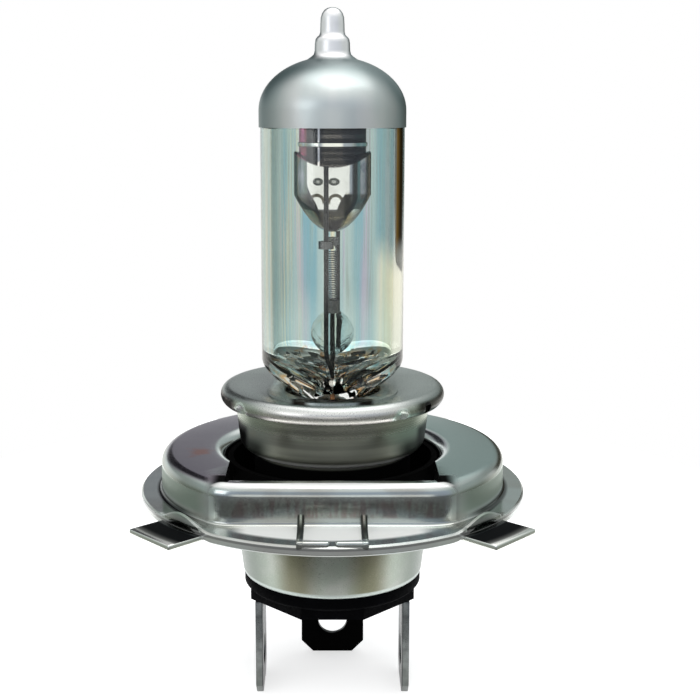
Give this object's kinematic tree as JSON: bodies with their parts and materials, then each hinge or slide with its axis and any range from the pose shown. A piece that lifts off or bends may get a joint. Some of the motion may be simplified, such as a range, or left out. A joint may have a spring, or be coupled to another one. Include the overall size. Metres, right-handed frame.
{
  "type": "headlight bulb",
  "caption": "Halogen headlight bulb: clear glass tube with a silvered tip over shielded filaments, on a steel cap with a lugged focus ring and blade terminals.",
  "frame": {"origin": "on the bulb's axis, in the plane of the underside of the cap's flange", "axes": "+Z along the axis towards the glass tip; -Y towards the focus ring's flat front, the side that the picture shows; +X to the right in the picture"},
  "size_m": [0.043, 0.0469, 0.0769],
  "materials": {
    "envelope_glass": "clear, gloss",
    "silver_coating": "satin silver paint",
    "lead_wire": "drawn, dark",
    "bead_glass": "clear, gloss",
    "shield_metal": "polished, stamped",
    "filament_wire": "drawn",
    "joint_metal": "satin",
    "foil_metal": "rolled",
    "clip_steel": "satin",
    "plate_steel": "matt",
    "cup_steel": "brushed round the axis",
    "ring_steel": "bright zinc plate",
    "shell_steel": "bright zinc plate",
    "insulator_plastic": "moulded, matt black",
    "blade_metal": "plated, satin"
  },
  "bodies": {
    "root": {"glass_envelope": "envelope_glass", "tip_coating": "silver_coating", "common_lead": "lead_wire", "high_beam_lead": "lead_wire", "low_beam_lead": "lead_wire", "lead_bead": "bead_glass", "beam_shield": "shield_metal", "high_beam_filament": "filament_wire", "low_beam_filament": "filament_wire", "high_filament_sleeve": "joint_metal", "low_filament_sleeve": "joint_metal", "high_filament_clamp": "joint_metal", "low_filament_clamp": "joint_metal", "common_foil": "foil_metal", "high_beam_foil": "foil_metal", "low_beam_foil": "foil_metal", "common_outer_lead": "lead_wire", "high_beam_outer_lead": "lead_wire", "low_beam_outer_lead": "lead_wire", "pinch_clip": "clip_steel", "retainer_plate": "plate_steel", "holder_cup": "cup_steel", "focus_ring": "ring_steel", "base_shell": "shell_steel", "insulator": "insulator_plastic", "common_terminal": "blade_metal", "high_beam_terminal": "blade_metal", "low_beam_terminal": "blade_metal"}
  },
  "joints": []
}
